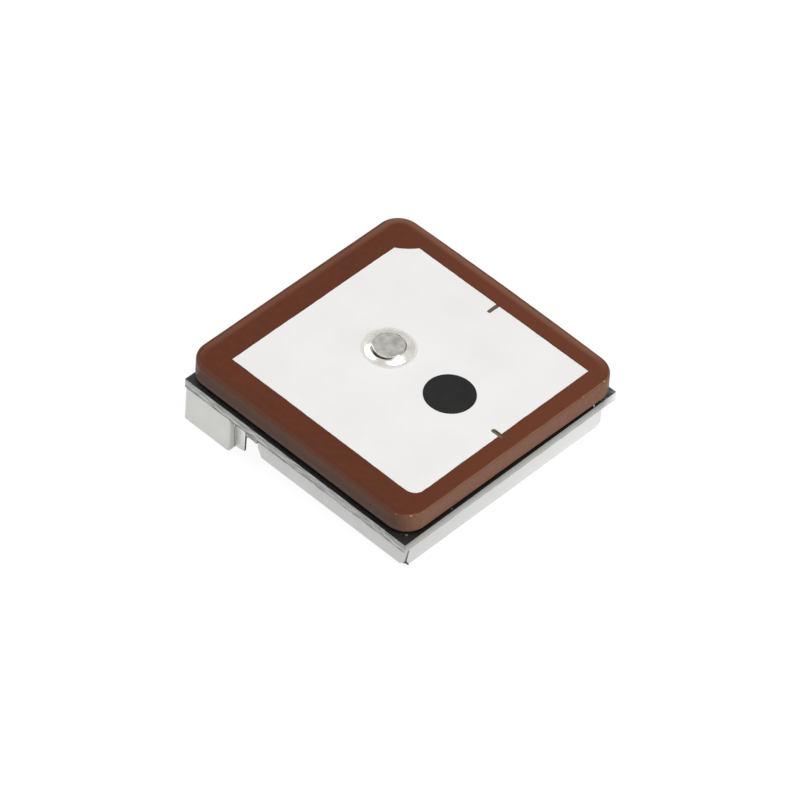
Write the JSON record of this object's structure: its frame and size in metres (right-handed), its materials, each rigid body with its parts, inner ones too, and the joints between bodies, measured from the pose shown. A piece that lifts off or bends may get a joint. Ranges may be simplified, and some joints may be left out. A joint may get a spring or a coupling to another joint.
{
  "type": "gps module",
  "caption": "Square satellite positioning module: brown ceramic patch antenna on a black circuit board, with a folded shield can and a side-entry wire connector underneath.",
  "frame": {"origin": "middle of the module's plan, level with the connector's underside", "axes": "+Z out of the antenna face, -X out of the connector's mouth"},
  "size_m": [0.0252, 0.0254, 0.0071],
  "materials": {
    "brown_ceramic": "satin",
    "fired_silver": "matte",
    "foam_tape": "matte",
    "black_ink": "satin",
    "tinned_pin": "satin",
    "solder": "glossy",
    "black_board": "satin",
    "tinned_sheet": "satin",
    "housing_nylon": "matte",
    "contact_metal": "satin",
    "tab_metal": "satin",
    "moulded_package": "matte",
    "lidded_package": "satin",
    "chip_part": "satin"
  },
  "bodies": {
    "root": {"ceramic_substrate": "brown_ceramic", "top_electrode": "fired_silver", "ground_electrode": "fired_silver", "adhesive_pad": "foam_tape", "ink_dot": "black_ink", "feed_pin": "tinned_pin", "feed_solder_top": "solder", "feed_solder_bottom": "solder", "circuit_board": "black_board", "solder_pads": "solder", "shield_can": "tinned_sheet", "connector_housing": "housing_nylon", "connector_contact_1": "contact_metal", "connector_contact_2": "contact_metal", "connector_contact_3": "contact_metal", "connector_contact_4": "contact_metal", "connector_contact_5": "contact_metal", "connector_contact_6": "contact_metal", "connector_tab_1": "tab_metal", "connector_tab_2": "tab_metal", "gnss_chip": "moulded_package", "saw_filter": "lidded_package", "low_noise_amplifier": "moulded_package", "tcxo": "lidded_package", "rtc_crystal": "lidded_package", "flash_memory": "moulded_package", "voltage_regulator": "moulded_package", "supply_bead": "chip_part", "matching_inductor": "chip_part", "supply_capacitor_1": "chip_part", "supply_capacitor_2": "chip_part", "chip_capacitor_1": "chip_part", "chip_capacitor_2": "chip_part", "chip_capacitor_3": "chip_part", "chip_capacitor_4": "chip_part", "chip_capacitor_5": "chip_part", "chip_capacitor_6": "chip_part"}
  },
  "joints": []
}
